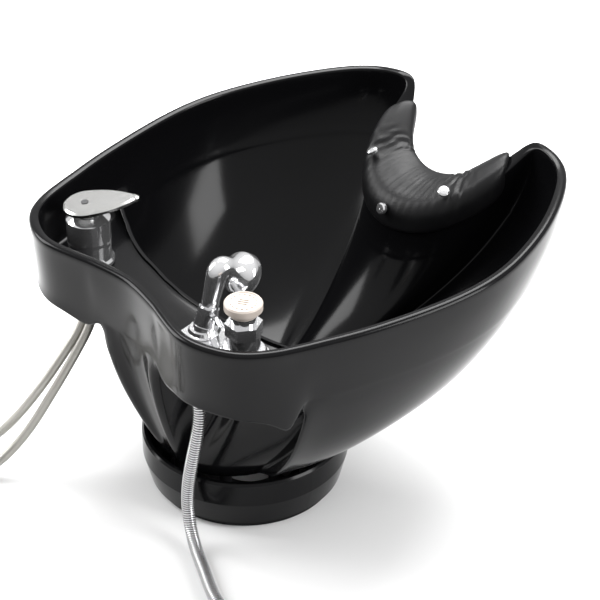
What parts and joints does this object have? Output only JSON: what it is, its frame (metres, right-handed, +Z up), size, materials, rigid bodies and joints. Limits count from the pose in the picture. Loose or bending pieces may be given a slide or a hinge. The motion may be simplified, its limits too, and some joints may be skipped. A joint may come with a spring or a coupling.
{
  "type": "shampoo backwash unit",
  "caption": "Salon shampoo bowl that tilts on a round base, with neck notch and pad, single-lever mixer, pull-out hand spray, vacuum breaker, drain and hoses.",
  "frame": {"origin": "centre of the round base's underside, on the surface it stands on, on the axis of the floor bolts", "axes": "+Z up; +Y towards the neck notch where the client leans back; -Y towards the deck with the fittings; +X towards the hand spray and vacuum breaker side"},
  "size_m": [0.669, 0.7, 0.34],
  "materials": {
    "bowl_black": "high gloss",
    "black_steel": "powder coat",
    "zinc_steel": "zinc plated",
    "rubber_black": "matt",
    "pad_leather": "soft sheen, fine grain",
    "chrome_trim": "polished",
    "satin_lever": "satin",
    "ivory_plastic": "semi gloss",
    "spiral_chrome": "polished spiral",
    "steel_braid": "fine braid",
    "nylon_black": "moulded",
    "cartridge_plastic": "moulded",
    "brass_plain": "machined",
    "jet_rubber": "soft"
  },
  "bodies": {
    "base": {"base_collar": "bowl_black", "base_plate": "black_steel", "collar_screws": "zinc_steel", "lower_bracket": "black_steel", "pivot_bolts": "zinc_steel", "pivot_nuts": "zinc_steel", "rest_posts": "black_steel", "rest_bumpers": "rubber_black", "spray_hose_floor": "spiral_chrome", "spray_coil": "spiral_chrome", "spray_end_nut": "chrome_trim", "cold_hose_floor": "steel_braid", "cold_coil": "steel_braid", "cold_end_nut": "chrome_trim", "hot_hose_floor": "steel_braid", "hot_coil": "steel_braid", "hot_end_nut": "chrome_trim"},
    "bowl": {"bowl_shell": "bowl_black", "neck_pad": "pad_leather", "pad_snaps": "chrome_trim", "upper_bracket": "black_steel", "bracket_screws": "zinc_steel", "pivot_bushes": "nylon_black", "drain_flange": "chrome_trim", "drain_gasket": "rubber_black", "drain_nut": "nylon_black", "waste_tail": "nylon_black", "tail_nut": "nylon_black", "mixer_gasket": "rubber_black", "mixer_base_ring": "chrome_trim", "mixer_shank": "brass_plain", "mixer_body": "chrome_trim", "mixer_cartridge": "cartridge_plastic", "deck_plate": "chrome_trim", "hose_holder": "chrome_trim", "holder_washer": "brass_plain", "holder_nut": "nylon_black", "breaker_body": "chrome_trim", "breaker_bonnet": "chrome_trim", "breaker_seat": "rubber_black", "breaker_cap": "ivory_plastic", "shank_washers": "brass_plain", "shank_nuts": "nylon_black", "transfer_pipe": "brass_plain", "spray_hose": "spiral_chrome", "cold_hose": "steel_braid", "hot_hose": "steel_braid"},
    "lever_swivel": {"mixer_dome": "chrome_trim", "mixer_stem": "brass_plain"},
    "lever": {"mixer_lever": "satin_lever", "lever_index": "nylon_black", "lever_screw": "zinc_steel"},
    "handset": {"handset_handle": "chrome_trim", "handset_head": "chrome_trim", "spray_face": "nylon_black", "spray_jets": "jet_rubber", "handset_tail": "spiral_chrome"},
    "poppet": {"breaker_poppet": "cartridge_plastic"},
    "strainer": {"strainer": "chrome_trim"}
  },
  "joints": [
    {"name": "bowl_tilt", "type": "hinge", "parent": "base", "child": "bowl", "pos_m": [0, 0, 0.044], "axis": [-1, 0, 0], "range_deg": [0, 9]},
    {"name": "lever_turn", "type": "hinge", "parent": "bowl", "child": "lever_swivel", "pos_m": [-0.136, -0.098, 0.299], "axis": [0, 0, 1], "range_deg": [-45, 45]},
    {"name": "lever_lift", "type": "hinge", "parent": "lever_swivel", "child": "lever", "pos_m": [-0.136, -0.098, 0.313], "axis": [0.8191, -0.5736, 0], "range_deg": [0, 14]},
    {"name": "handset_pull", "type": "slide", "parent": "bowl", "child": "handset", "axis": [0, 0.2924, 0.9563], "range_m": [0, 0.05]},
    {"name": "poppet_lift", "type": "slide", "parent": "bowl", "child": "poppet", "axis": [0, 0, 1], "range_m": [0, 0.004]},
    {"name": "strainer_lift", "type": "slide", "parent": "bowl", "child": "strainer", "axis": [0, -0.1564, 0.9877], "range_m": [0, 0.03]}
  ]
}
